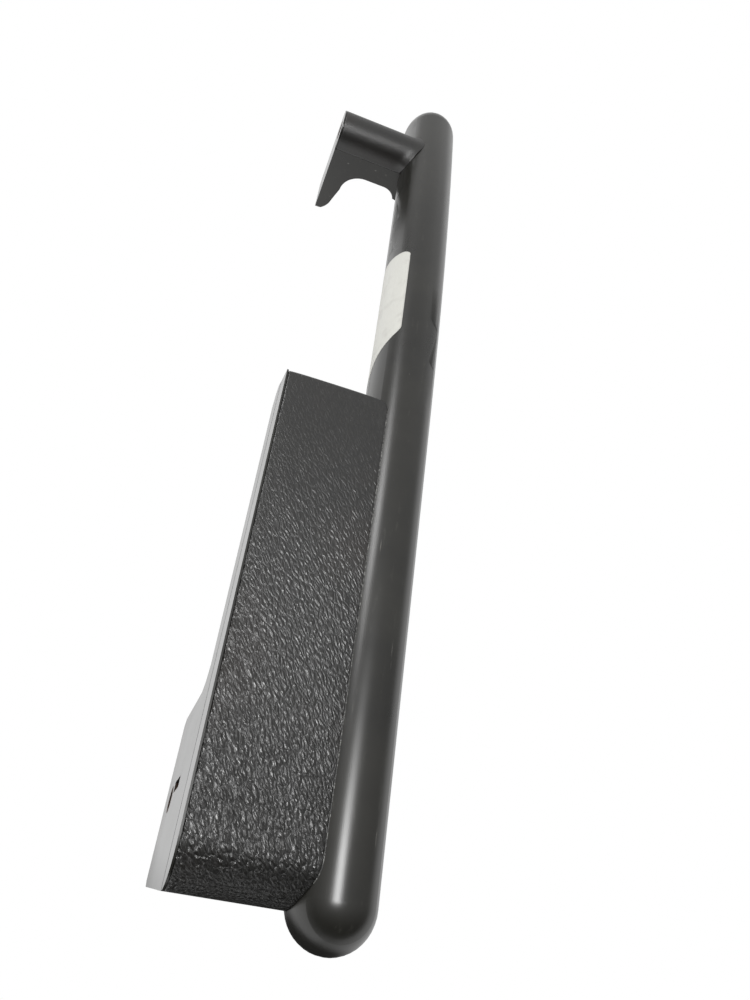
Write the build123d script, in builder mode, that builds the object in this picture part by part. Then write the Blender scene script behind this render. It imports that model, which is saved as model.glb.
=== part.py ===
# Wall-mounted grab rail with a padded armrest block and a far-end post.
# Millimetres. X runs along the rail, the wall is the plane Y = 0 and the rail stands off it towards -Y,
# +Z is up. The origin is the mouth of the block's wall bush.
import os
from math import asin, atan2, cos, degrees, sin, sqrt
from build123d import *

# rail: an upright oval section in two shells, straight, then bending gently down
rail_radius = 18.2              # half of its thickness, across the hand
rail_y = -66.0                  # the rail's axis stands this far off the wall
parting_z = 60.5                # height of the plane where the two shells meet
upper_rise = 20.8               # parting plane up to the crown
lower_rise = 25.7               # parting plane down to the underside
near_x, bend_x, far_x = -36.8, 204.0, 474.0     # near dome, start of the bend, far dome
bend_radius = 2450.0
wall = 2.5                      # moulded wall thickness

# armrest block
seat_z = 78.0                   # the grained top face
block_near_x, block_far_x = -41.6, 200.0
fold_radius = 17.5              # the near end rolls over from the top to the parting plane
far_draft = 5.0                 # the far end leans outwards by this much down to the parting plane
lip_z = 44.0                    # underside of the block
skin = 1.2
skin_inset = 0.9                # the covers stop this far from the wall face
foam = 4.0
foot_near_x, foot_far_x, foot_z = -35.5, 42.0, -22.0
foot_depth = 24.0               # how far the block's foot stands off the wall

# post at the far end
post_x, post_width = 434.0, 28.0
post_top_z = 68.5
post_floor_z = 36.0
tongue_z = -1.2
throat_y, throat_fillet = -50.0, 9.0    # where the post's underside turns down into the rail

# core bar, its rubber sleeves and its clamps
bar_radius = 6.0
bar_near_x, bar_far_x = -30.0, 466.0
sleeve_radius, sleeve_length, rib = 7.5, 7.0, 4.0
sleeve_places = (60.0, 150.0, 245.0, 335.0)
plate = 3.0                     # thickness of the steel brackets
strap = 2.0
strap_foot = 6.0
clamp_screw_offset = 10.65      # each strap screw from the bar's axis
clamp_screw_radius, clamp_head_radius, clamp_head = 1.5, 2.6, 2.2
nut_flats, nut_height, seat_slack = 5.0, 2.4, 0.02
block_arm, post_arm = 16.0, 10.0        # width of each bracket's arm and strap
bracket_width, bracket_foot_z = 32.0, -12.0

# wall bushes, M8
bush_radius, bush_length, thread_radius = 6.0, 16.0, 4.0
flange_radius, flange = 8.0, 2.0
plate_offset = 4.0              # wall face to the brackets' uprights
post_bush_z = 56.0
post_tab_radius = 8.5

# screws that close the shells, driven from below
screw_radius = 1.4
rail_screw_places = (-30.0, 105.0, 290.0, 375.0, 455.0)
rail_screw_y = rail_y - 10.0
rail_boss, rail_recess, rail_seat = 3.6, 2.9, 12.0      # radii, and the seat's depth below the parting plane
block_screw_places = ((64.0, -18.0), (64.0, -42.0), (186.0, -18.0), (186.0, -42.0))
block_boss, block_recess, block_seat = 4.5, 3.3, 11.5
head_height, screw_reach = 2.2, 7.5
cap_height, cap_gap = 2.0, 0.3

# slot and spring clip in the wall face, label on the rail
slot_x, slot_z, slot_width, slot_height = 4.0, 17.0, 5.0, 18.0
clip_gap, clip_steel = 0.2, 0.6
label_near_x, label_far_x, label_low, label_high = 250.0, 319.0, -12.0, 18.0
label_thickness = 0.15

reach = -rail_y                 # wall to rail axis
pad_floor_z = seat_z - skin - foam
bend_axis = Axis((bend_x, rail_y, parting_z - bend_radius), (0, 1, 0))


def bend_angle(x):
    """The angle, in radians, that the rail has turned down through at x."""
    return asin(max(x - bend_x, 0.0) / bend_radius)


def fold_z(x):
    """Height of the parting line at x."""
    return parting_z - bend_radius * (1 - cos(bend_angle(x)))


def rail_plane(x):
    """The plane across the rail at x: local x towards the wall, local y up from the parting line."""
    turn = bend_angle(x)
    return Plane(origin=(x, rail_y, fold_z(x)), x_dir=(0, 1, 0), z_dir=(cos(turn), 0, -sin(turn)))


def swept(section, x_from, x_to):
    """A section carried along the rail from x_from to x_to."""
    with BuildPart() as run:
        if x_from < bend_x:
            with BuildSketch(rail_plane(x_from)):
                add(section)
            extrude(amount=min(x_to, bend_x) - x_from)
        if x_to > bend_x:
            start = max(x_from, bend_x)
            with BuildSketch(rail_plane(start)):
                add(section)
            revolve(axis=bend_axis, revolution_arc=degrees(bend_angle(x_to) - bend_angle(start)))
    return run.part


def arch(radius, rise):
    """Half of the rail's section, up or down by rise's sign: a crown arc between two flatter side arcs."""
    tall = abs(rise)
    crown = radius * sqrt(radius / tall)
    side = (radius ** 2 + (tall - crown) ** 2 - crown ** 2) / (2 * (radius - crown))
    shift = side - radius
    turn = atan2(tall - crown, shift)
    with BuildSketch() as section:
        with BuildLine():
            for hand in (1, -1):
                arc = [(hand * (side * cos(t) - shift), side * sin(t) * rise / tall) for t in (0, turn / 2, turn)]
                ThreePointArc(*arc)
            ThreePointArc((-arc[2][0], arc[2][1]), (0, rise), arc[2])
            Line((-radius, 0), (radius, 0))
        make_face()
    return section.sketch


def half_rail(inset, rise):
    """One half of the rail as a solid, its ends turned into domes."""
    radius = rail_radius - inset
    height = rise - inset if rise > 0 else rise + inset
    with BuildPart() as half:
        add(swept(arch(radius, height), near_x, far_x))
        for x, sense in ((near_x, 1), (far_x, -1)):
            end = rail_plane(x)
            with BuildSketch(end):
                add(arch(radius, height))
                with Locations((-radius, 0)):
                    Rectangle(2 * radius, 8 * radius, mode=Mode.SUBTRACT)
            revolve(axis=Axis(end.origin, end.y_dir * sense), revolution_arc=180)
    return half.part


def beyond_parting(sense):
    """All the space above (1) or below (-1) the parting surface."""
    height = 150.0
    with BuildSketch() as band:
        with Locations((reach / 2, sense * height / 2)):
            Rectangle(160, height)
    return swept(band.sketch, -90.0, 540.0)


def slab(points, start, depth):
    """A closed outline in the X-Z plane, carried off the wall from start."""
    with BuildPart() as body:
        with BuildSketch(Plane.XZ.offset(start)):
            with BuildLine():
                Polyline(*points, close=True)
            make_face()
        extrude(amount=depth)
    return body.part


def block_top(inset, start, depth):
    """The block above the parting plane: rolled near end, flat top, leaning far end."""
    centre_x = block_near_x + fold_radius
    top = seat_z - inset
    with BuildPart() as body:
        with BuildSketch(Plane.XZ.offset(start)):
            with BuildLine():
                CenterArc((centre_x, parting_z), fold_radius - inset, 90, 90)
                Polyline(
                    (centre_x, top), (block_far_x - inset, top),
                    (block_far_x + far_draft - inset, parting_z), (block_near_x + inset, parting_z),
                )
            make_face()
        extrude(amount=depth)
    return body.part


def post_body(inset, start, depth):
    """The post: round top and straight sides."""
    half = post_width / 2 - inset
    centre = post_top_z - post_width / 2
    floor = post_floor_z + inset
    with BuildPart() as body:
        with BuildSketch(Plane.XZ.offset(start)):
            with BuildLine():
                CenterArc((post_x, centre), half, 0, 180)
                Polyline(
                    (post_x + half, centre), (post_x + half, floor), (post_x - half, floor), (post_x - half, centre),
                )
            make_face()
        extrude(amount=depth)
    return body.part


def tongue():
    """The tongue down the wall and the arch from it under the post to the rail."""
    corner = 1.5
    top = post_floor_z + 6
    with BuildPart() as body:
        add(slab([
            (tongue_near_x, top), (tongue_near_x, tongue_z + corner), (tongue_near_x + corner, tongue_z),
            (tongue_far_x - 4, tongue_z), (tongue_far_x, tongue_z + 4), (tongue_far_x, top)], 0.0, reach))
        with BuildSketch(Plane.YZ):
            with BuildLine():
                tip, side, arch_foot, arch_end = (-1.5, tongue_z), (-9.4, 9.5), (-12.6, 21.0), (-28.5, post_floor_z)
                throat_start, throat_end = (throat_y + throat_fillet, post_floor_z), (throat_y + 0.2, post_floor_z - 6.6)
                Polyline(tip, (0, tongue_z), (0, top), (-60, top), (-60, post_floor_z - 8), (-56.5, post_floor_z - 8), throat_end)
                ThreePointArc(throat_end, (throat_y + 2.6, post_floor_z - 2.6), throat_start)
                Line(throat_start, arch_end)
                ThreePointArc(arch_end, (-17.6, 32.2), arch_foot)
                Line(arch_foot, side)
                ThreePointArc(side, (-6.6, 3.0), tip)
            make_face()
        extrude(amount=600, mode=Mode.INTERSECT)
    return body.part


def column(x, y, radius, low, high):
    """An upright cylinder."""
    with BuildPart() as post:
        with BuildSketch(Plane.XY.offset(low)):
            with Locations((x, y)):
                Circle(radius)
        extrude(amount=high - low)
    return post.part


def bosses():
    """The upright bosses of every closing screw."""
    with BuildPart() as group:
        for x in rail_screw_places:
            add(column(x, rail_screw_y, rail_boss, 20, 90))
        for x, y in block_screw_places:
            add(column(x, y, block_boss, 20, 90))
    return group.part


def ribs():
    """Cross walls in the rail with a round opening for the bar's sleeves."""
    with BuildSketch() as section:
        Rectangle(2 * rail_radius, 4 * rail_radius)
        Circle(sleeve_radius, mode=Mode.SUBTRACT)
    with BuildPart() as group:
        for x in sleeve_places:
            add(swept(section.sketch, x - rib / 2, x + rib / 2))
    return group.part


def screw_places():
    """Each closing screw: x, y, parting height, recess radius and seat depth."""
    rail = [(x, rail_screw_y, fold_z(x), rail_recess, rail_seat) for x in rail_screw_places]
    block = [(x, y, parting_z, block_recess, block_seat) for x, y in block_screw_places]
    return rail + block


upper_rail, lower_rail = half_rail(0.0, upper_rise), half_rail(0.0, -lower_rise)
above, below = beyond_parting(1), beyond_parting(-1)
standing = bosses() + ribs()
bush_places = ((0.0, 0.0), (post_x, post_bush_z))
foot_wall_x = foot_near_x + wall + 1.5
tongue_near_x = post_x - post_width / 2
tongue_far_x = post_x + post_width / 2

# --- upper shell: rail top, block tray and post top in one moulding ---
with BuildPart() as upper_cavity:
    add(block_top(skin + wall, wall, reach - wall))
    with BuildSketch(Plane.XY.offset(pad_floor_z - wall)):
        Rectangle(1200, 1200)
    extrude(amount=40, mode=Mode.SUBTRACT)
    add(half_rail(wall, upper_rise))
    add(post_body(skin + wall, wall, reach - wall))
    add(standing, mode=Mode.SUBTRACT)

with BuildPart() as upper_shell:
    add(block_top(skin, skin_inset, reach - skin_inset))
    tray_near_x, tray_far_x = block_near_x + fold_radius, block_far_x - skin - wall
    with BuildSketch(Plane.XY.offset(pad_floor_z)):
        with Locations(((tray_near_x + tray_far_x) / 2, -(wall + reach) / 2)):
            Rectangle(tray_far_x - tray_near_x, reach - wall)
    extrude(amount=foam + skin, mode=Mode.SUBTRACT)
    add(block_top(0.0, 0.0, skin_inset))
    add(post_body(skin, skin_inset, reach - skin_inset))
    add(post_body(0.0, 0.0, skin_inset))
    add(above, mode=Mode.INTERSECT)
    add(upper_rail)
    add(upper_cavity.part, mode=Mode.SUBTRACT)
    with BuildSketch(Plane.XZ):
        with Locations(bush_places[1]):
            Circle(bush_radius)
    extrude(amount=wall, mode=Mode.SUBTRACT)
    for x, y, z, recess, seat in screw_places():
        add(column(x, y, screw_radius, z - 1, z + screw_reach), mode=Mode.SUBTRACT)

# --- lower shell: rail underside, block lip and foot, post underside and tongue ---
with BuildPart() as lower_cavity:
    add(slab([
        (block_near_x + 1.5 * wall, parting_z), (block_near_x + 2 * wall, lip_z + wall),
        (block_far_x - wall, lip_z + wall), (block_far_x + wall, lip_z + 3 * wall),
        (block_far_x + 0.5 * wall, parting_z)], wall, reach - wall))
    add(slab([
        (foot_wall_x - 2, parting_z), (foot_wall_x, foot_z + wall), (foot_far_x - wall, foot_z + wall),
        (foot_far_x - wall, parting_z)], wall, foot_depth - 2 * wall))
    add(half_rail(wall, -lower_rise))
    add(post_body(skin + wall, wall, reach - wall))
    add(standing, mode=Mode.SUBTRACT)

with BuildPart() as lower_shell:
    # block lip, with a sloped near end and a far end that turns under
    add(slab([
        (block_near_x, parting_z), (block_near_x + 1.2, lip_z), (block_far_x - 1, lip_z),
        (block_far_x + 6, lip_z + 4), (block_far_x + 8, lip_z + 9), (block_far_x + far_draft, parting_z)],
        0.0, reach))
    # foot, stepped up to the lip on its far side
    add(slab([
        (block_near_x + 1.2, lip_z + 1), (foot_near_x, foot_z + 4), (foot_near_x + 3, foot_z),
        (foot_far_x - 3, foot_z), (foot_far_x, foot_z + 4), (foot_far_x, lip_z - 12),
        (foot_far_x + 3, lip_z - 5), (foot_far_x + 10, lip_z), (foot_far_x + 10, lip_z + 1)],
        0.0, foot_depth))
    add(post_body(0.0, 0.0, reach))
    add(tongue())
    add(below, mode=Mode.INTERSECT)
    add(lower_rail)
    add(lower_cavity.part, mode=Mode.SUBTRACT)
    with BuildSketch(Plane.XZ):
        Circle(bush_radius)
        with Locations((slot_x, slot_z)):
            Rectangle(slot_width, slot_height)
    extrude(amount=wall, mode=Mode.SUBTRACT)
    for x, y, z, recess, seat in screw_places():
        add(column(x, y, screw_radius, z - seat, z + 1), mode=Mode.SUBTRACT)
        add(column(x, y, recess, z - 40, z - seat), mode=Mode.SUBTRACT)

# --- armrest pad: grained cover and foam, and the post's cover ---
with BuildPart() as pad_skin:
    add(block_top(0.0, skin_inset, reach - skin_inset))
    add(block_top(skin, 0.0, reach), mode=Mode.SUBTRACT)
    add(upper_rail, mode=Mode.SUBTRACT)

with BuildPart() as pad_foam:
    with BuildSketch(Plane.XY.offset(pad_floor_z)):
        with Locations(((tray_near_x + tray_far_x) / 2, -(wall + reach) / 2)):
            Rectangle(tray_far_x - tray_near_x, reach - wall)
    extrude(amount=foam)
    add(upper_rail, mode=Mode.SUBTRACT)

with BuildPart() as post_skin:
    add(post_body(0.0, skin_inset, reach - skin_inset))
    add(post_body(skin, 0.0, reach), mode=Mode.SUBTRACT)
    add(above, mode=Mode.INTERSECT)
    add(upper_rail, mode=Mode.SUBTRACT)

# --- core bar and the rubber sleeves that carry it in the ribs ---
with BuildSketch() as bar_section:
    Circle(bar_radius)
with BuildPart() as core_bar:
    add(swept(bar_section.sketch, bar_near_x, bar_far_x))

with BuildSketch() as sleeve_section:
    Circle(sleeve_radius)
    Circle(bar_radius, mode=Mode.SUBTRACT)
with BuildPart() as core_sleeves:
    for x in sleeve_places:
        add(swept(sleeve_section.sketch, x - sleeve_length / 2, x + sleeve_length / 2))

# --- brackets: an upright behind the wall face and an arm that reaches under the bar ---
arm_end = bar_radius + strap + strap_foot
with BuildSketch() as arm_section:
    with Locations(((reach - plate_offset - arm_end) / 2, -bar_radius - plate / 2)):
        Rectangle(reach - plate_offset + arm_end, plate)


def clamp_screw_run(x, radius, low, high, sides=0):
    """Round or six-sided bars through both feet of the strap at x, square to the rail."""
    mid = rail_plane(x)
    floor = Plane(origin=mid.origin + mid.y_dir * low, x_dir=mid.z_dir, z_dir=mid.y_dir)
    with BuildPart() as pair:
        with BuildSketch(floor):
            with Locations((0, clamp_screw_offset), (0, -clamp_screw_offset)):
                if sides:
                    RegularPolygon(radius, sides, major_radius=False, rotation=30)
                else:
                    Circle(radius)
        extrude(amount=high - low)
    return pair.part


def bracket_arm(x, width):
    """The arm at x, with its two screw holes."""
    with BuildPart() as arm:
        add(swept(arm_section.sketch, x - width / 2, x + width / 2))
        holes = clamp_screw_run(x, clamp_screw_radius, -bar_radius - plate - 1, -bar_radius + 1)
        add(holes, mode=Mode.SUBTRACT)
    return arm.part


with BuildPart() as block_bracket:
    add(bracket_arm(0.0, block_arm))
    with BuildSketch(Plane.XZ.offset(plate_offset)):
        with Locations((0, (bracket_foot_z + parting_z - bar_radius) / 2)):
            Rectangle(bracket_width, parting_z - bar_radius - bracket_foot_z)
        Circle(bush_radius, mode=Mode.SUBTRACT)
    extrude(amount=plate)

with BuildPart() as post_bracket:
    add(bracket_arm(post_x, post_arm))
    arm_z = fold_z(post_x) - bar_radius - plate / 2
    with BuildSketch(Plane.XZ.offset(plate_offset)):
        with Locations((post_x, (arm_z + post_bush_z) / 2)):
            Rectangle(post_arm - 1, post_bush_z - arm_z)
        with Locations(bush_places[1]):
            Circle(post_tab_radius)
            Circle(bush_radius, mode=Mode.SUBTRACT)
    extrude(amount=plate)


def strap_section():
    """A half ring over the bar, two legs and two feet."""
    outer = bar_radius + strap
    with BuildSketch() as section:
        Circle(outer)
        with Locations((0, -outer)):
            Rectangle(4 * outer, 2 * outer, mode=Mode.SUBTRACT)
        with Locations((0, -bar_radius / 2)):
            Rectangle(2 * outer, bar_radius)
        with Locations((0, -bar_radius + strap / 2)):
            Rectangle(2 * (outer + strap_foot), strap)
        with Locations((0, -bar_radius / 2)):
            Rectangle(2 * bar_radius, bar_radius, mode=Mode.SUBTRACT)
        Circle(bar_radius, mode=Mode.SUBTRACT)
    return section.sketch


def saddle(x, width):
    """The strap at x, with its two screw holes."""
    with BuildPart() as body:
        add(swept(strap_section(), x - width / 2, x + width / 2))
        holes = clamp_screw_run(x, clamp_screw_radius, -bar_radius - 1, -bar_radius + strap + 1)
        add(holes, mode=Mode.SUBTRACT)
    return body.part


def saddle_screws(x):
    """Round-headed screws down through the strap's feet, the arm and the nuts."""
    seat = -bar_radius + strap
    with BuildPart() as pair:
        add(clamp_screw_run(x, clamp_screw_radius, -bar_radius - plate - nut_height - 1, seat))
        add(clamp_screw_run(x, clamp_head_radius, seat, seat + clamp_head))
    return pair.part


def saddle_nuts(x):
    """Nuts under the arm."""
    under = -bar_radius - plate - seat_slack
    with BuildPart() as pair:
        add(clamp_screw_run(x, nut_flats / 2, under - nut_height, under, sides=6))
        add(clamp_screw_run(x, clamp_screw_radius, under - nut_height, under), mode=Mode.SUBTRACT)
    return pair.part


def bush(x, z):
    """A threaded bush, flush with the wall face, with a flange behind the bracket's upright."""
    with BuildPart() as body:
        with BuildSketch(Plane.XZ):
            with Locations((x, z)):
                Circle(bush_radius)
        extrude(amount=bush_length)
        with BuildSketch(Plane.XZ.offset(plate_offset + plate)):
            with Locations((x, z)):
                Circle(flange_radius)
        extrude(amount=flange)
        with BuildSketch(Plane.XZ):
            with Locations((x, z)):
                Circle(thread_radius)
        extrude(amount=bush_length, mode=Mode.SUBTRACT)
    return body.part


def closing_screws(places):
    """Self-tapping screws with a round head."""
    with BuildPart() as group:
        for x, y, z, recess, seat in places:
            add(column(x, y, screw_radius, z - seat, z + screw_reach))
            add(column(x, y, recess - cap_gap, z - seat - head_height, z - seat))
    return group.part


def screw_caps(places, depth):
    """Round caps that fill the recesses."""
    with BuildPart() as group:
        for x, y, z, recess, seat in places:
            add(column(x, y, recess, z - depth, z - depth + cap_height))
    return group.part


# --- spring clip in the wall slot: a back plate and two tabs that reach to the mouth ---
clip_width, clip_height = slot_width - 2 * clip_gap, slot_height - 2 * clip_gap
with BuildPart() as panel_clip:
    with BuildSketch(Plane.XZ.offset(plate_offset - clip_gap - clip_steel)):
        with Locations((slot_x, slot_z)):
            Rectangle(clip_width, clip_height)
    extrude(amount=clip_steel)
    with BuildSketch(Plane.XZ.offset(clip_gap)):
        for side in (-1, 1):
            with Locations((slot_x, slot_z + side * (clip_height - clip_steel) / 2)):
                Rectangle(clip_width, clip_steel)
    extrude(amount=plate_offset - 2 * clip_gap)

# --- blank label round the rail's wall side ---
with BuildSketch() as label_section:
    add(arch(rail_radius + label_thickness, upper_rise + label_thickness))
    add(arch(rail_radius + label_thickness, -lower_rise - label_thickness))
    add(arch(rail_radius, upper_rise), mode=Mode.SUBTRACT)
    add(arch(rail_radius, -lower_rise), mode=Mode.SUBTRACT)
    with Locations((rail_radius, (label_low + label_high) / 2)):
        Rectangle(rail_radius, label_high - label_low, mode=Mode.INTERSECT)
with BuildPart() as label:
    add(swept(label_section.sketch, label_near_x, label_far_x))

rail_closings = screw_places()[:len(rail_screw_places)]
block_closings = screw_places()[len(rail_screw_places):]
cap_depth = lower_rise * sqrt(1 - ((rail_screw_y - rail_y) / rail_radius) ** 2) - cap_height
parts = {
    "upper_shell": upper_shell.part,
    "lower_shell": lower_shell.part,
    "pad_skin": pad_skin.part,
    "pad_foam": pad_foam.part,
    "post_skin": post_skin.part,
    "core_bar": core_bar.part,
    "core_sleeves": core_sleeves.part,
    "block_bracket": block_bracket.part,
    "post_bracket": post_bracket.part,
    "block_saddle": saddle(0.0, block_arm),
    "post_saddle": saddle(post_x, post_arm),
    "block_saddle_screws": saddle_screws(0.0),
    "post_saddle_screws": saddle_screws(post_x),
    "block_saddle_nuts": saddle_nuts(0.0),
    "post_saddle_nuts": saddle_nuts(post_x),
    "block_bush": bush(*bush_places[0]),
    "post_bush": bush(*bush_places[1]),
    "rail_screws": closing_screws(rail_closings),
    "block_screws": closing_screws(block_closings),
    "rail_screw_caps": screw_caps(rail_closings, cap_depth),
    "block_screw_caps": screw_caps(block_closings, parting_z - lip_z - cap_gap),
    "panel_clip": panel_clip.part,
    "label": label.part,
}
os.makedirs("parts", exist_ok=True)
for name, part in parts.items():
    part.label = name
    export_step(part, f"parts/{name}.step")
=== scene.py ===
import bpy
import numpy as np
from mathutils import Matrix, Vector


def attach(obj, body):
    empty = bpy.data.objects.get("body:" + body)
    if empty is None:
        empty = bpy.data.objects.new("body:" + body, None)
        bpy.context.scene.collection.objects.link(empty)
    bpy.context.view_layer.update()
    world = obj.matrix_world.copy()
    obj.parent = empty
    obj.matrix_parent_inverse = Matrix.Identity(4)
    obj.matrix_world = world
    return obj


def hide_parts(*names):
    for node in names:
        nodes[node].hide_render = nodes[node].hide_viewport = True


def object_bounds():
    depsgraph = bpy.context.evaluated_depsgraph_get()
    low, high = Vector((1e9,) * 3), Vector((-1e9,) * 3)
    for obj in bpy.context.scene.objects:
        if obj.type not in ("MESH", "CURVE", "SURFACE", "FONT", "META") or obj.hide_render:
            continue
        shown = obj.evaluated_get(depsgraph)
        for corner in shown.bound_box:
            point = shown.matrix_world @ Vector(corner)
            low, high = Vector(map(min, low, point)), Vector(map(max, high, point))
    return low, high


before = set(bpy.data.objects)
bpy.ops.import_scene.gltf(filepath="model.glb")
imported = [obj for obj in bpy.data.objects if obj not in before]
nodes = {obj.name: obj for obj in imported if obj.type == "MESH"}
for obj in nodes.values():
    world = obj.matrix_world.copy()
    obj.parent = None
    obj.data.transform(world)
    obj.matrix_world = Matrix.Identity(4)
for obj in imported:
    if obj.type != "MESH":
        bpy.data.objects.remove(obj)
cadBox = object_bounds()
mm = 0.001
print("frame loaded:", len(nodes), "nodes")

# rail shape shared by the new pieces
rail = {
    "halfWidth": 18.2, "crownRise": 20.8, "keelDrop": 25.7,     # section about the parting line
    "axisY": -66.0, "partingZ": 60.5,
    "nearX": -36.8, "bendX": 204.0, "bendRadius": 2450.0,
}


def foldHeight(x):      # parting line: level, then a circle of bendRadius falling away
    run = np.clip(x - rail["bendX"], 0, None)
    return rail["partingZ"] - rail["bendRadius"] + np.sqrt(rail["bendRadius"] ** 2 - run ** 2)


def railHalf(height):      # half width at a height from the parting line: two tangent arcs, crown and side
    half = rail["halfWidth"]
    tall = np.where(height > 0, rail["crownRise"], rail["keelDrop"])
    crown = half * np.sqrt(half / tall)
    side = (half ** 2 + (tall - crown) ** 2 - crown ** 2) / (2 * (half - crown))
    turn = np.arctan2(tall - crown, side - half)
    rise = np.minimum(np.abs(height), tall)
    onSide = np.sqrt(side ** 2 - np.minimum(rise, side) ** 2) - (side - half)
    onCrown = np.sqrt(np.clip(crown ** 2 - (rise - tall + crown) ** 2, 0, None))
    return np.where(rise < side * np.sin(turn), onSide, onCrown)


def wallSideOfRail(x, z):      # y of the rail's wall side at x, z; the near dome is the section turned about its axis
    half = railHalf(z - foldHeight(x))
    beyond = np.clip(rail["nearX"] - x, 0, None)
    return rail["axisY"] + np.sqrt(np.clip(half ** 2 - beyond ** 2, 0, None))


# meshes
def loopSweep(name, loops):
    # closed loops carried along a path: quads join neighbouring loops, a fan of triangles closes each end
    along, around = loops.shape[:2]
    index = np.arange(along * around).reshape(along, around)
    nextOne = np.roll(index, -1, axis=1)
    quads = np.stack([index[:-1], nextOne[:-1], nextOne[1:], index[1:]], axis=-1).reshape(-1, 4)
    ends = np.stack([loops[0].mean(axis=0), loops[-1].mean(axis=0)])
    first = np.stack([np.full(around, along * around), nextOne[0], index[0]], axis=-1)
    last = np.stack([np.full(around, along * around + 1), index[-1], nextOne[-1]], axis=-1)
    points = np.concatenate([loops.reshape(-1, 3), ends]) * mm
    mesh = bpy.data.meshes.new(name)
    mesh.from_pydata(points.tolist(), [], quads.tolist() + first.tolist() + last.tolist())
    mesh.validate()
    if signedVolume(mesh) < 0:
        mesh.flip_normals()
    mesh.polygons.foreach_set("use_smooth", np.ones(len(mesh.polygons), dtype=bool))
    piece = bpy.data.objects.new(name, mesh)
    bpy.context.scene.collection.objects.link(piece)
    return piece


def signedVolume(mesh):      # a sixth of the sum of each triangle's triple product
    mesh.calc_loop_triangles()
    corners = np.empty(len(mesh.loop_triangles) * 3, dtype=np.int32)
    mesh.loop_triangles.foreach_get("vertices", corners)
    places = np.empty(len(mesh.vertices) * 3)
    mesh.vertices.foreach_get("co", places)
    a, b, c = places.reshape(-1, 3)[corners.reshape(-1, 3)].transpose(1, 0, 2)
    return float(np.einsum("ij,ij->i", a, np.cross(b, c)).sum()) / 6


def alongPath(points, spacing):      # points every spacing or less along a polyline, corners kept
    pieces = [points[:1]]
    for start, end in zip(points[:-1], points[1:]):
        steps = max(1, int(np.ceil(np.linalg.norm(end - start) / spacing)))
        pieces.append(start + (end - start) * np.linspace(0, 1, steps + 1)[1:, None])
    return np.concatenate(pieces)


def roundCorner(before, corner, after, radius, steps=8):      # a circle tangent to both runs, as points
    a = (before - corner) / np.linalg.norm(before - corner)
    b = (after - corner) / np.linalg.norm(after - corner)
    half = np.arccos(np.clip(a @ b, -1, 1)) / 2
    middle = corner + (a + b) / np.linalg.norm(a + b) * radius / np.sin(half)
    reach = radius / np.tan(half)
    start, end = corner + a * reach - middle, corner + b * reach - middle
    turn = np.linspace(0, 1, steps + 1)[:, None]
    mixed = start * (1 - turn) + end * turn
    return middle + mixed / np.linalg.norm(mixed, axis=1)[:, None] * radius


def outwardNormals(profile):      # normals to the left of a profile's direction, in the x-z plane
    tangent = np.gradient(profile, axis=0)
    tangent /= np.linalg.norm(tangent, axis=1)[:, None]
    return np.stack([-tangent[:, 1], tangent[:, 0]], axis=-1)


def coverLoops(profile, wallY, railY, thickness, edge, crown, across=44):
    # each loop goes out from the wall edge to the rail edge on the outer face and back inside;
    # the outer face drops by a quarter circle of radius edge at both sides and swells by crown between them
    normal = outwardNormals(profile)
    share = (1 - np.cos(np.linspace(0, np.pi, across))) / 2
    y = wallY + (railY[:, None] - wallY) * share
    width = np.abs(railY - wallY)[:, None]
    fromEdge = np.minimum(share, 1 - share) * width
    lost = edge - np.sqrt(np.clip(edge ** 2 - np.clip(edge - fromEdge, 0, None) ** 2, 0, None))
    swell = crown[:, None] * (1 - (2 * share - 1) ** 4)
    outer = -lost + swell
    inner = np.full_like(outer, -thickness)
    lift = np.concatenate([outer, inner[:, ::-1]], axis=1)
    yAll = np.concatenate([y, y[:, ::-1]], axis=1)
    x = profile[:, :1] + normal[:, :1] * lift
    z = profile[:, 1:] + normal[:, 1:] * lift
    return np.stack([x, yAll, z], axis=-1)


def tube(name, path, radius, sides=8, sideways=(0.0, 0.35, 1.0), blunt=0.02, taper=8):
    # a circle carried along a path; its radius follows the root of a steep, clipped sine and closes both ends
    tangent = np.gradient(path, axis=0)
    tangent /= np.linalg.norm(tangent, axis=1)[:, None]
    across = np.cross(tangent, np.array(sideways))
    across /= np.linalg.norm(across, axis=1)[:, None]
    upward = np.cross(across, tangent)
    angle = np.linspace(0, 2 * np.pi, sides, endpoint=False)[None, :, None]
    along = np.linspace(blunt, np.pi - blunt, len(path))
    size = radius * np.sqrt(np.clip(np.sin(along) * taper, 0, 1))
    ring = across[:, None] * np.cos(angle) + upward[:, None] * np.sin(angle)
    return loopSweep(name, path[:, None] + ring * size[:, None, None])


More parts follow.
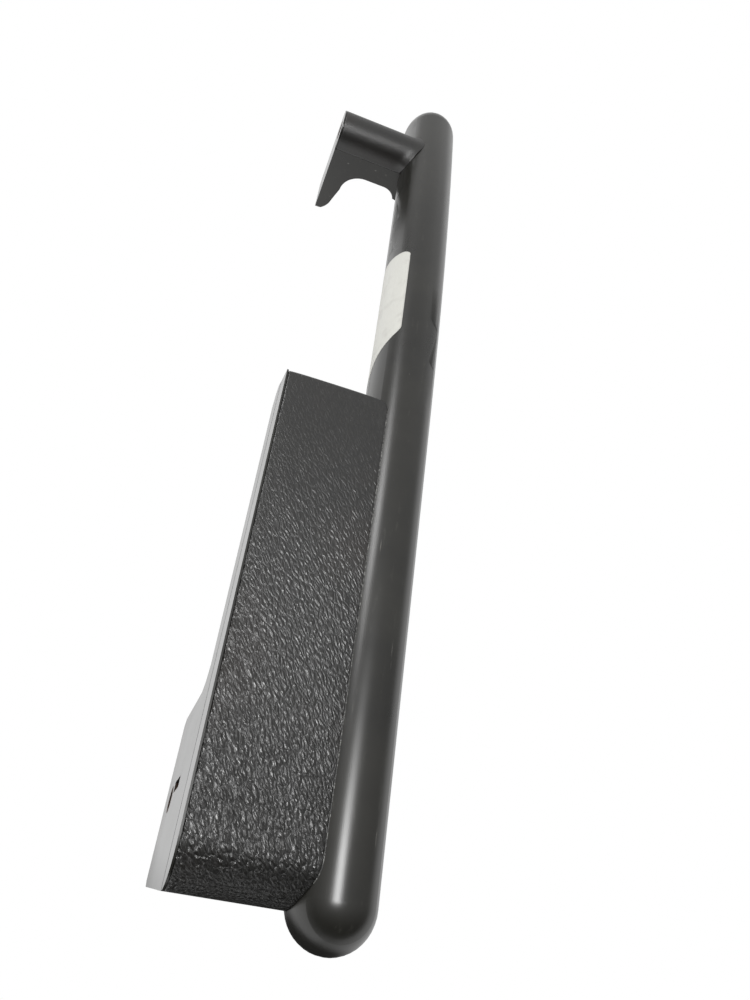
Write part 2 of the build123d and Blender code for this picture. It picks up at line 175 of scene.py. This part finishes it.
# shader maths
class Wire:      # one output of a material's nodes; arithmetic on it adds Math nodes
    def __init__(self, tree, socket):
        self.tree, self.socket = tree, socket

    def node(self, kind, settings=None, sockets=None, output=0):      # any other node
        made = self.tree.nodes.new("ShaderNode" + kind)
        for key, value in (settings or {}).items():
            if key == "stops":
                ramp = made.color_ramp
                while len(ramp.elements) < len(value):
                    ramp.elements.new(0.5)
                for stop, (place, colour) in zip(ramp.elements, value):
                    stop.position, stop.color = place, colour
            else:
                setattr(made, key, value)
        for key, value in (sockets or {}).items():
            if isinstance(value, Wire):
                self.tree.links.new(value.socket, made.inputs[key])
            else:
                made.inputs[key].default_value = value
        return Wire(self.tree, made.outputs[output])

    def maths(self, operation, *values):
        return self.node("Math", {"operation": operation}, dict(enumerate(values)))

    def __add__(self, other): return self.maths("ADD", self, other)
    def __radd__(self, other): return self.maths("ADD", other, self)
    def __sub__(self, other): return self.maths("SUBTRACT", self, other)
    def __rsub__(self, other): return self.maths("SUBTRACT", other, self)
    def __mul__(self, other): return self.maths("MULTIPLY", self, other)
    def __rmul__(self, other): return self.maths("MULTIPLY", other, self)
    def __truediv__(self, other): return self.maths("DIVIDE", self, other)
    def __pow__(self, other): return self.maths("POWER", self, other)
    def __abs__(self): return self.maths("ABSOLUTE", self)

    def clamp(self):
        return self.node("Clamp", {}, {0: self})

    def above(self, edge, soft):      # 0 below edge, 1 beyond edge + soft, a straight ramp between
        sockets = {"Value": self, "From Min": edge, "From Max": edge + soft}
        return self.node("MapRange", {"clamp": True}, sockets)

    def below(self, edge, soft):
        return 1 - self.above(edge - soft, soft)

    def mix(self, first, second):      # colours by this factor
        return self.node("Mix", {"data_type": "RGBA"}, {0: self, 6: first, 7: second}, output=2)

    def stretched(self, x, y, z):      # the same place with each axis scaled
        return self.node("VectorMath", {"operation": "MULTIPLY"}, {0: self, 1: (x, y, z)})

    def shifted(self, amount):      # the same place moved by another vector
        return self.node("VectorMath", {"operation": "ADD"}, {0: self, 1: amount})

    def axes(self):
        return [self.node("SeparateXYZ", {}, {0: self}, output=i) for i in range(3)]

    def noise(self, scale, detail=3.0, rough=0.5, output=0):
        sockets = {"Vector": self, "Scale": scale, "Detail": detail, "Roughness": rough}
        return self.node("TexNoise", {}, sockets, output)

    def cells(self, scale, feature="F1", output=0):
        return self.node("TexVoronoi", {"feature": feature}, {"Vector": self, "Scale": scale}, output)

    def bump(self, strength, distance, under=None):
        sockets = {"Height": self, "Strength": strength, "Distance": distance}
        if under:
            sockets["Normal"] = under
        return self.node("Bump", {}, sockets)


def newMaterial(name, metallic=0.0, specular=0.5):      # a Principled shader and its Object coordinates
    made = bpy.data.materials.new(name)
    made.use_nodes = True
    tree = made.node_tree
    tree.nodes.clear()
    shader = tree.nodes.new("ShaderNodeBsdfPrincipled")
    output = tree.nodes.new("ShaderNodeOutputMaterial")
    tree.links.new(shader.outputs[0], output.inputs[0])
    coords = tree.nodes.new("ShaderNodeTexCoord")
    shader.inputs["Metallic"].default_value = metallic
    shader.inputs["Specular IOR Level"].default_value = specular
    return made, shader, Wire(tree, coords.outputs["Object"])


def plug(wire, shader, socket):
    wire.tree.links.new(wire.socket, shader.inputs[socket])


def paint(colour):      # a colour with full alpha
    return (*colour, 1.0)


def grey(tone):
    return (tone, tone, tone, 1.0)


def specksIn(place, scale, size, share):      # round specks: near a cell's centre, in a share of the cells
    near = place.cells(scale).below(size * scale, size * scale * 0.5)
    chosen = place.cells(scale, output=1).axes()[0].above(1 - share, 0.001)
    return near * chosen


plastic = {
    "dark": (0.010, 0.0098, 0.0085), "pale": (0.019, 0.0185, 0.0155), "rub": (0.036, 0.035, 0.030),
    # seam colour: near-black painted shade for the groove between the mouldings
    "dust": (0.30, 0.29, 0.27), "rust": (0.16, 0.050, 0.028), "seamGroovePaintedShade": (0.002, 0.002, 0.002),
    "rough": 0.24, "cloudRough": 0.10, "rubRough": 0.08, "dustRough": 0.3, "scratchRough": 0.05, "seamRough": 0.6,
    "cloudScale": 22.0, "toothScale": 900.0, "rubScale": 60.0, "scratchAlong": 30.0, "scratchAcross": 420.0,
    "dustScale": 95.0, "dustSize": 0.00032, "dustShare": 0.16,
    "rustScale": 36.0, "rustSize": 0.0011, "rustShare": 0.035, "rustWander": 0.0012,
    "seamHalf": 0.00022, "wallSeam": 0.00055, "wallEdge": -0.0006, "wallSoft": 0.0004,
    "tooth": 0.35, "toothDepth": 0.00006, "seamDepth": 0.0001,
}


def mouldedPlastic(name, look):      # moulded black plastic: cloudy tone, fine tooth, rubs, dust, a few brown spots
    made, shader, place = newMaterial(name)
    cloud = place.noise(look["cloudScale"], 4.0, 0.6)
    fine = place.noise(look["toothScale"], 2.0, 0.6)
    rubs = place.stretched(1.0, 5.0, 5.0).noise(look["rubScale"], 5.0, 0.7).above(0.60, 0.12)
    fineLines = place.stretched(look["scratchAlong"], look["scratchAcross"], look["scratchAcross"])
    scratches = fineLines.noise(1.0, 2.0, 0.5).above(0.74, 0.03)
    dust = specksIn(place, look["dustScale"], look["dustSize"], look["dustShare"])
    wander = place.noise(160.0, output=1).stretched(*(look["rustWander"],) * 3)
    spots = specksIn(place.shifted(wander), look["rustScale"], look["rustSize"], look["rustShare"])
    tone = cloud.above(0.35, 0.35).mix(paint(look["dark"]), paint(look["pale"]))
    tone = (rubs * 0.55).clamp().mix(tone, paint(look["rub"]))
    tone = (scratches * 0.35).mix(tone, paint(look["dust"]))
    tone = (spots * 0.7).mix(tone, paint(look["rust"]))
    tone = (dust * 0.8).mix(tone, paint(look["dust"]))
    x, y, z = place.axes()      # the joint of the mouldings: z falls by run squared over twice the bend's radius
    run = x - rail["bendX"] * mm
    bent = x.maths("MAXIMUM", run, 0.0)
    fromSeam = abs(z - rail["partingZ"] * mm + bent * bent / (2 * rail["bendRadius"] * mm))
    onWall = y.above(look["wallEdge"], look["wallSoft"])      # a wider groove, with wider painted shade, where the joint reaches the wall face
    seamGroovePaintedShade = (fromSeam / (onWall * look["wallSeam"] + look["seamHalf"])).below(1.0, 0.5)
    # the seam is near black: painted shade of the groove between the two mouldings
    plug(seamGroovePaintedShade.mix(tone, paint(look["seamGroovePaintedShade"])), shader, "Base Color")
    rough = look["rough"] + cloud * look["cloudRough"] + rubs * look["rubRough"]
    rough = rough + dust * look["dustRough"] - scratches * look["scratchRough"] + seamGroovePaintedShade * look["seamRough"]
    plug(rough.clamp(), shader, "Roughness")
    height = fine * 0.25 + scratches * -0.4 + dust * 0.6
    tooth = height.bump(look["tooth"], look["toothDepth"])
    plug((seamGroovePaintedShade * -3.0).bump(1.0, look["seamDepth"], tooth), shader, "Normal")
    return made


leather = {
    # valley: the darker tone in the grain's creases, painted shade
    "paintedCreaseShade": (0.004, 0.004, 0.0036), "peak": (0.0125, 0.012, 0.0108), "brown": (0.024, 0.0165, 0.013),
    "grainAlong": 215.0, "grainAcross": 560.0, "fineAlong": 420.0, "fineAcross": 1150.0, "lean": -0.5,
    "wanderScale": 180.0, "wander": 0.0013, "wrinkleScale": 1500.0, "swellScale": 240.0,
    "patchScale": 16.0, "dustScale": 70.0, "dustSize": 0.0003, "dustShare": 0.12,
    "relief": 0.00036, "strength": 1.0, "rough": 0.33, "roughChange": 0.10,
    "flatFrom": 0.02, "flatOver": 0.16, "flatBy": 0.6,
}


def grainedVinyl(name, look):      # pebbled skin: cells drawn out along a leaning line, creased where they meet, with painted shade darkening the creases
    made, shader, place = newMaterial(name, specular=0.6)
    wander = place.noise(look["wanderScale"], 2.0, output=1).stretched(*(look["wander"],) * 3)
    leanBy = {"Vector": place.shifted(wander), "Angle": look["lean"]}
    leaning = place.node("VectorRotate", {"rotation_type": "Z_AXIS"}, leanBy)
    pebbles = leaning.stretched(look["grainAlong"], look["grainAcross"], look["grainAcross"])
    crease = pebbles.cells(1.0, "DISTANCE_TO_EDGE").above(0.0, 0.34)
    smaller = leaning.stretched(look["fineAlong"], look["fineAcross"], look["fineAcross"])
    second = smaller.cells(1.0, "DISTANCE_TO_EDGE").above(0.0, 0.3)
    patch = place.noise(look["patchScale"], 3.0, 0.5)
    wrinkle = place.noise(look["wrinkleScale"], 3.0, 0.65)
    dust = specksIn(place, look["dustScale"], look["dustSize"], look["dustShare"])
    # the creases between the pebbles take the darker tone: painted shade
    tone = (crease * 0.7 + second * 0.3).clamp().mix(paint(look["paintedCreaseShade"]), paint(look["peak"]))
    tone = (patch.above(0.45, 0.3) * 0.4).mix(tone, paint(look["brown"]))
    plug((dust * 0.6).mix(tone, paint(plastic["dust"])), shader, "Base Color")
    rough = look["rough"] - crease * look["roughChange"] + wrinkle * look["roughChange"]
    plug(rough.clamp(), shader, "Roughness")
    height = crease * 0.85 + second * 0.22 + wrinkle * 0.10 + place.noise(look["swellScale"], 2.0) * 0.35
    farAlong = place.axes()[0].above(look["flatFrom"], look["flatOver"])      # pressed flatter away from the fold
    height = height * (1 - farAlong * look["flatBy"])
    plug(height.bump(look["strength"], look["relief"]), shader, "Normal")
    return made


bead = {
    "dark": (0.020, 0.020, 0.019), "crumb": (0.20, 0.20, 0.19), "crumbScale": 700.0, "rough": 0.45, "relief": 0.00015,
}


def beadGlue(name, look):      # a soft grey bead, broken by pale crumbs
    made, shader, place = newMaterial(name)
    crumbs = place.noise(look["crumbScale"], 3.0, 0.7).above(0.48, 0.14)
    plug(crumbs.mix(paint(look["dark"]), paint(look["crumb"])), shader, "Base Color")
    plug((look["rough"] + crumbs * 0.2).clamp(), shader, "Roughness")
    plug(crumbs.bump(0.6, look["relief"]), shader, "Normal")
    return made


evenGrain, coarseGrain = (300.0,) * 3, (500.0,) * 3      # streaks as wide as they are long
steels = {      # tone, roughness, streaks along x, y, z
    "barSteel": ((0.52, 0.51, 0.49), 0.32, (60.0, 900.0, 900.0)),
    "zincSteel": ((0.60, 0.60, 0.58), 0.36, evenGrain),
    "screwSteel": ((0.45, 0.44, 0.42), 0.30, coarseGrain),
    "springSteel": ((0.060, 0.040, 0.030), 0.62, (900.0, 900.0, 120.0)),
    "bushSteel": ((0.075, 0.052, 0.040), 0.66, coarseGrain),
}
dullSteel = {"scale": 140.0, "shade": 0.55, "relief": 0.00005}


def brushedSteel(name, tone, rough, streak):      # streaks drawn out along the piece, with dull patches
    made, shader, place = newMaterial(name, metallic=1.0)
    lines = place.stretched(*streak).noise(1.0, 3.0, 0.6)
    dull = place.noise(dullSteel["scale"], 4.0, 0.65)
    dark = tuple(dullSteel["shade"] * c for c in tone)
    bright = (dull.above(0.35, 0.4) * 0.6 + lines * 0.4).clamp()
    plug(bright.mix(paint(dark), paint(tone)), shader, "Base Color")
    plug((rough + dull * 0.18 + lines * 0.1).clamp(), shader, "Roughness")
    plug((lines * 0.6 + dull * 0.3).bump(0.3, dullSteel["relief"]), shader, "Normal")
    return made


sleeve = {"dark": (0.012, 0.012, 0.012), "pale": (0.035, 0.034, 0.033), "rough": 0.6, "relief": 0.00008}


def sleeveRubber(name, look):      # dull rubber with a cloudy bloom and a fine tooth
    made, shader, place = newMaterial(name, specular=0.35)
    cloud = place.noise(120.0, 4.0, 0.6)
    plug(cloud.mix(paint(look["dark"]), paint(look["pale"])), shader, "Base Color")
    plug((look["rough"] + cloud * 0.25).clamp(), shader, "Roughness")
    plug(place.noise(1400.0, 2.0).bump(0.4, look["relief"]), shader, "Normal")
    return made


paperLook = {"clean": (0.52, 0.52, 0.485), "smudged": (0.35, 0.34, 0.315), "rough": 0.42, "relief": 0.00004}


def labelPaper(name, look):      # off-white paper, soft grey smudges, no lettering
    made, shader, place = newMaterial(name, specular=0.4)
    fibres = place.stretched(300.0, 900.0, 900.0).noise(1.0, 3.0, 0.6)
    smudge = place.noise(95.0, 4.0, 0.6).above(0.52, 0.25)
    worn = (fibres * 0.3 + smudge * 0.5).clamp()
    plug(worn.mix(paint(look["clean"]), paint(look["smudged"])), shader, "Base Color")
    plug((look["rough"] + fibres * 0.15).clamp(), shader, "Roughness")
    plug(fibres.bump(0.25, look["relief"]), shader, "Normal")
    return made


postLeather = {
    **leather, "grainAlong": 900.0, "grainAcross": 1300.0, "relief": 0.00016, "strength": 0.7, "rough": 0.40,
}
shell = mouldedPlastic("mouldedPlastic", plastic)
capPlastic = mouldedPlastic("capPlastic", {**plastic, "dark": (0.010, 0.010, 0.010), "pale": (0.017, 0.017, 0.016)})
vinyl = grainedVinyl("grainedVinyl", leather)
postVinyl = grainedVinyl("postVinyl", postLeather)
steel, zinc, screwSteel, spring, bushSteel = [brushedSteel(name, *look) for name, look in steels.items()]
rubber = sleeveRubber("sleeveRubber", sleeve)
paper = labelPaper("labelPaper", paperLook)
glue = beadGlue("beadGlue", bead)
print("materials made")

finishes = {
    "upper_shell": shell, "lower_shell": shell, "core_bar": steel, "core_sleeves": rubber,
    "block_bracket": zinc, "post_bracket": zinc, "block_saddle": zinc, "post_saddle": zinc,
    "block_saddle_screws": screwSteel, "post_saddle_screws": screwSteel,
    "block_saddle_nuts": screwSteel, "post_saddle_nuts": screwSteel,
    "block_bush": bushSteel, "post_bush": bushSteel,
    "rail_screws": screwSteel, "block_screws": screwSteel, "rail_screw_caps": capPlastic,
    "block_screw_caps": capPlastic, "panel_clip": spring, "pad_skin": vinyl, "pad_foam": rubber,
    "post_skin": vinyl, "label": paper,
}
for nodeName, finish in finishes.items():
    slots = nodes[nodeName].material_slots
    if not slots:
        nodes[nodeName].data.materials.append(finish)
    for each in slots:
        each.material = finish

# armrest pad
pad = {
    "seatZ": 78.0, "nearX": -41.6, "farX": 200.0, "foldRadius": 17.5, "farLean": 5.0, "farCorner": 2.4,
    "wallGap": 0.9, "thickness": 1.15, "edge": 0.9, "swell": 0.45, "swellFrom": 70.0, "swellOver": 8.0,
    "planCorner": 6.0, "spacing": 3.0, "footLift": 0.02, "foldSteps": 30,
}
foldCentre = np.array([pad["nearX"] + pad["foldRadius"], rail["partingZ"]])
foldAngle = np.linspace(np.pi, np.pi / 2, pad["foldSteps"])      # the near end turns down on a quarter circle
foldArc = foldCentre + pad["foldRadius"] * np.stack([np.cos(foldAngle), np.sin(foldAngle)], axis=-1)
farTop = np.array([pad["farX"], pad["seatZ"]])
farFoot = np.array([pad["farX"] + pad["farLean"], rail["partingZ"] + pad["footLift"]])
cornerArc = roundCorner(foldArc[-1], farTop, farFoot, pad["farCorner"])
padProfile = np.concatenate([
    foldArc[:-1], alongPath(np.stack([foldArc[-1], cornerArc[0]]), pad["spacing"]), cornerArc[1:-1],
    alongPath(np.stack([cornerArc[-1], farFoot]), pad["spacing"]),
])
padRailY = wallSideOfRail(padProfile[:, 0], padProfile[:, 1])
fromFarEnd = np.clip(pad["planCorner"] - (pad["farX"] - padProfile[:, 0]), 0, pad["planCorner"])
padRailY = padRailY + pad["planCorner"] - np.sqrt(pad["planCorner"] ** 2 - fromFarEnd ** 2)
onTop = np.clip((padProfile[:, 1] - pad["swellFrom"]) / pad["swellOver"], 0, 1)
padCover = loopSweep("padCover", coverLoops(
    padProfile, -pad["wallGap"], padRailY, pad["thickness"], pad["edge"], pad["swell"] * onTop))
padCover.data.materials.append(vinyl)
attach(padCover, "root")
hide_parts("pad_skin", "pad_foam")

# bead of glue along the crease between the cover and the rail
creaseBead = {"fromX": -33.0, "short": 3.0, "towardWall": 0.25, "radius": 0.42}
topRun = (padProfile[:, 0] > creaseBead["fromX"]) & (padProfile[:, 0] < pad["farX"] - creaseBead["short"])
beadPath = np.stack([
    padProfile[topRun, 0], padRailY[topRun] + creaseBead["towardWall"],
    padProfile[topRun, 1] - creaseBead["radius"],
], axis=-1)
padBead = tube("padBead", beadPath, creaseBead["radius"])
padBead.data.materials.append(glue)
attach(padBead, "root")
print("pad cover and bead made")

# post cover
post = {
    "x": 434.0, "half": 14.0, "topZ": 68.5, "wallGap": 0.9, "thickness": 1.15, "edge": 0.5,
    "flare": 3.2, "flareReach": 7.0, "flareFade": 7.0, "sink": 0.3,
    "footLift": 0.05, "spacing": 1.0, "steps": 48, "across": 36,
}
# its profile goes straight up from the parting line, over half a circle and straight down
postAngle = np.linspace(np.pi, 0, post["steps"])
postCentre = np.array([post["x"], post["topZ"] - post["half"]])
postArc = postCentre + post["half"] * np.stack([np.cos(postAngle), np.sin(postAngle)], axis=-1)
footX = np.array([post["x"] - post["half"], post["x"] + post["half"]])
postFeet = np.stack([footX, foldHeight(footX) + post["footLift"]], axis=-1)
postProfile = np.concatenate([
    alongPath(np.stack([postFeet[0], postArc[0]]), post["spacing"])[:-1], postArc,
    alongPath(np.stack([postArc[-1], postFeet[1]]), post["spacing"])[1:],
])
postRailY = wallSideOfRail(postProfile[:, 0], postProfile[:, 1])
postLoops = coverLoops(postProfile, -post["wallGap"], postRailY, post["thickness"], post["edge"],
                       np.zeros(len(postProfile)), post["across"])
toRail = np.clip((postLoops[..., 1] - postRailY[:, None]) / post["flareReach"], 0, 1)      # 0 at the rail
aboveFoot = np.clip((postProfile[:, 1] - foldHeight(postProfile[:, 0])) / post["flareFade"], 0, 1)
outward = outwardNormals(postProfile)
flaring = (1 - toRail) ** 2 * (aboveFoot * outward[:, 0] ** 2)[:, None]      # none at the foot or the top
spread = outward[:, None] * (post["flare"] * flaring)[..., None]
half = postLoops.shape[1] // 2
postLoops[:, :half, 0] += spread[:, :half, 0]
postLoops[:, :half, 2] += spread[:, :half, 1]
onRail = wallSideOfRail(postLoops[:, :half, 0], postLoops[:, :half, 2])      # the spread edge follows the rail's side
postLoops[:, :half, 1] += (onRail - postRailY[:, None] - post["sink"]) * flaring[:, :half]
postCover = loopSweep("postCover", postLoops)
postCover.data.materials.append(postVinyl)
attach(postCover, "root")
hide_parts("post_skin")
print("post cover made")

# label, stuck round the wall side of the rail
sticker = {
    "nearX": 251.0, "farX": 319.0, "low": -12.0, "high": 18.0, "corner": 3.5, "skew": 1.0,
    "under": 0.01, "thick": 0.15, "step": 0.05, "columns": 70, "rows": 36,
}


def labelLoops():
    # columns run along the rail, rows run round its section; the corners draw in by a circle,
    # and the near end leans back in proportion to the height
    length = sticker["farX"] - sticker["nearX"]
    column = (1 - np.cos(np.linspace(0, np.pi, sticker["columns"]))) / 2 * length
    end = np.minimum(column, length - column)
    gap = np.clip(sticker["corner"] - end, 0, None)
    draw = sticker["corner"] - np.sqrt(np.clip(sticker["corner"] ** 2 - gap ** 2, 0, None))
    low, high = sticker["low"] + draw, sticker["high"] - draw
    height = low[:, None] + (high - low)[:, None] * np.linspace(0, 1, sticker["rows"])
    share = 1 - column / length
    x = sticker["nearX"] + column[:, None] - sticker["skew"] * share[:, None] * (sticker["high"] - height)
    across = railHalf(height)
    step = sticker["step"]
    slope = (railHalf(height + step) - railHalf(height - step)) / (2 * step)
    long = np.sqrt(1 + slope ** 2)
    turn = np.arcsin(np.clip(x - rail["bendX"], 0, None) / rail["bendRadius"])
    faces = []
    for lift in (sticker["under"], sticker["thick"]):
        out, up = across + lift / long, height - lift * slope / long
        faces.append(np.stack([
            x + np.sin(turn) * up, rail["axisY"] + out, foldHeight(x) + np.cos(turn) * up], axis=-1))
    return np.concatenate([faces[1], faces[0][:, ::-1]], axis=1)


railLabel = loopSweep("railLabel", labelLoops())
railLabel.data.materials.append(paper)
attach(railLabel, "root")
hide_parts("label")
print("label made")

# floor, light, camera
studio = {
    "floorHalf": 4.0, "floorGap": 0.0002, "floorTone": 1.0,
    "wallTone": 1.5, "wallFrom": -0.03, "wallOver": 0.06,
    "shadeTone": 0.03, "shadeFrom": 0.75, "shadeSoft": 0.5, "shadeAt": (-0.135, -0.05),
    "shadeWide": (0.11, 0.085), "roomDark": 0.02, "roomBright": 0.85,
}
floorZ, floorHalf = cadBox[0][2] - studio["floorGap"], studio["floorHalf"]
floorMesh = bpy.data.meshes.new("paleFloor")
floorCorners = [(floorHalf * x, floorHalf * y, floorZ) for x, y in ((-1, -1), (1, -1), (1, 1), (-1, 1))]
floorMesh.from_pydata(floorCorners, [], [(0, 1, 2, 3)])
paleFloor = bpy.data.objects.new("paleFloor", floorMesh)
bpy.context.scene.collection.objects.link(paleFloor)
floorLook, floorShader, floorPlace = newMaterial("palePaper", specular=0.0)
floorX, floorY = floorPlace.axes()[:2]
shadeX = (floorX - studio["shadeAt"][0]) / studio["shadeWide"][0]
shadeY = (floorY - studio["shadeAt"][1]) / studio["shadeWide"][1]
nearShade = (shadeX * shadeX + shadeY * shadeY) ** 0.5      # an ellipse of less light in front of the near end
glow = nearShade.above(studio["shadeFrom"], studio["shadeSoft"])
wallSide = floorY.above(studio["wallFrom"], studio["wallOver"])      # more light comes back on the wall's side
openFloor = wallSide.mix(grey(studio["floorTone"]), grey(studio["wallTone"]))
bounced = glow.mix(grey(studio["shadeTone"]), openFloor)
straight = floorPlace.node("LightPath")      # the sheet itself is plain white; what it throws back is shaded
plug(straight.mix(bounced, grey(1.0)), floorShader, "Emission Color")
floorShader.inputs["Base Color"].default_value = grey(0.0)
floorShader.inputs["Emission Strength"].default_value = 1.0
floorMesh.materials.append(floorLook)

world = bpy.data.worlds.new("softRoom")
world.use_nodes = True
room = world.node_tree
roomPlace = Wire(room, room.nodes.new("ShaderNodeTexCoord").outputs["Generated"])
roomX, _, roomZ = roomPlace.axes()
farSide = (roomX * 0.75 + roomZ * 0.65).above(-0.25, 1.1)      # dark behind the viewer, bright beyond and overhead
brightness = farSide.mix(grey(studio["roomDark"]), grey(studio["roomBright"]))
room.links.new(brightness.socket, room.nodes["Background"].inputs[0])
bpy.context.scene.world = world
bpy.context.scene.view_settings.view_transform = "Standard"

lamps = {      # places and sizes in metres, power in watts
    "overheadBox": {"at": (0.08, 0.16, 1.15), "aim": (0.05, -0.05, 0.06), "size": (0.18, 0.34), "power": 8.5},
    "windowBox": {"at": (1.1, 1.1, 1.3), "aim": (0.2, -0.05, 0.05), "size": (0.5, 0.5), "power": 11.0},
}
for lampName, lamp in lamps.items():
    light = bpy.data.lights.new(lampName, "AREA")
    light.shape = "RECTANGLE"
    light.size, light.size_y = lamp["size"]
    light.energy = lamp["power"]
    holder = bpy.data.objects.new(lampName, light)
    holder.location = lamp["at"]
    holder.rotation_euler = (Vector(lamp["aim"]) - Vector(lamp["at"])).to_track_quat("-Z", "Y").to_euler()
    bpy.context.scene.collection.objects.link(holder)

view = {
    "eye": (-0.065, 0.0306, 0.39804), "lens": 28.8,
    "right": (0.11969, -0.93685, 0.32861), "up": (0.84373, 0.27043, 0.46366), "back": (-0.52325, 0.22176, 0.82282),
}
cameraData = bpy.data.cameras.new("camera")
cameraData.lens, cameraData.sensor_width, cameraData.sensor_fit = view["lens"], 36.0, "AUTO"
cameraData.clip_start = 0.01
camera = bpy.data.objects.new("camera", cameraData)
turn = Matrix((view["right"], view["up"], view["back"])).transposed().to_4x4()
camera.matrix_world = Matrix.Translation(view["eye"]) @ turn
bpy.context.scene.collection.objects.link(camera)
bpy.context.scene.camera = camera
print("floor, light and camera made")
